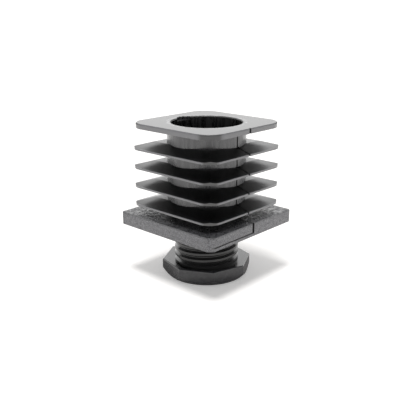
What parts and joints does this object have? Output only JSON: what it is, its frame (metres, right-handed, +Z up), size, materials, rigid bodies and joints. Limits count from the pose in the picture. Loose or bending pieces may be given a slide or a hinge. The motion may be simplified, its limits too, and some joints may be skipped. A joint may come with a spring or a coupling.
{
  "type": "levelling tube end cap",
  "caption": "Square plastic tube insert with flexible barbed plates round a hollow neck, a thick end flange and a screw-in levelling foot.",
  "frame": {"origin": "centre of the foot's flat sole, where the part stands", "axes": "+Z up the axis of the neck and thread; X and Y square to the flange's sides"},
  "size_m": [0.04, 0.04, 0.0512],
  "materials": {
    "insert_plastic": "black polyamide, moulded, fine spark-eroded texture",
    "foot_plastic": "black polyamide, moulded, satin"
  },
  "bodies": {
    "insert": {"insert_body": "insert_plastic"},
    "foot": {"levelling_foot": "foot_plastic"}
  },
  "joints": [
    {"name": "foot_height", "type": "slide", "parent": "insert", "child": "foot", "axis": [0, 0, 1], "range_m": [-0.007, 0.0115]}
  ]
}
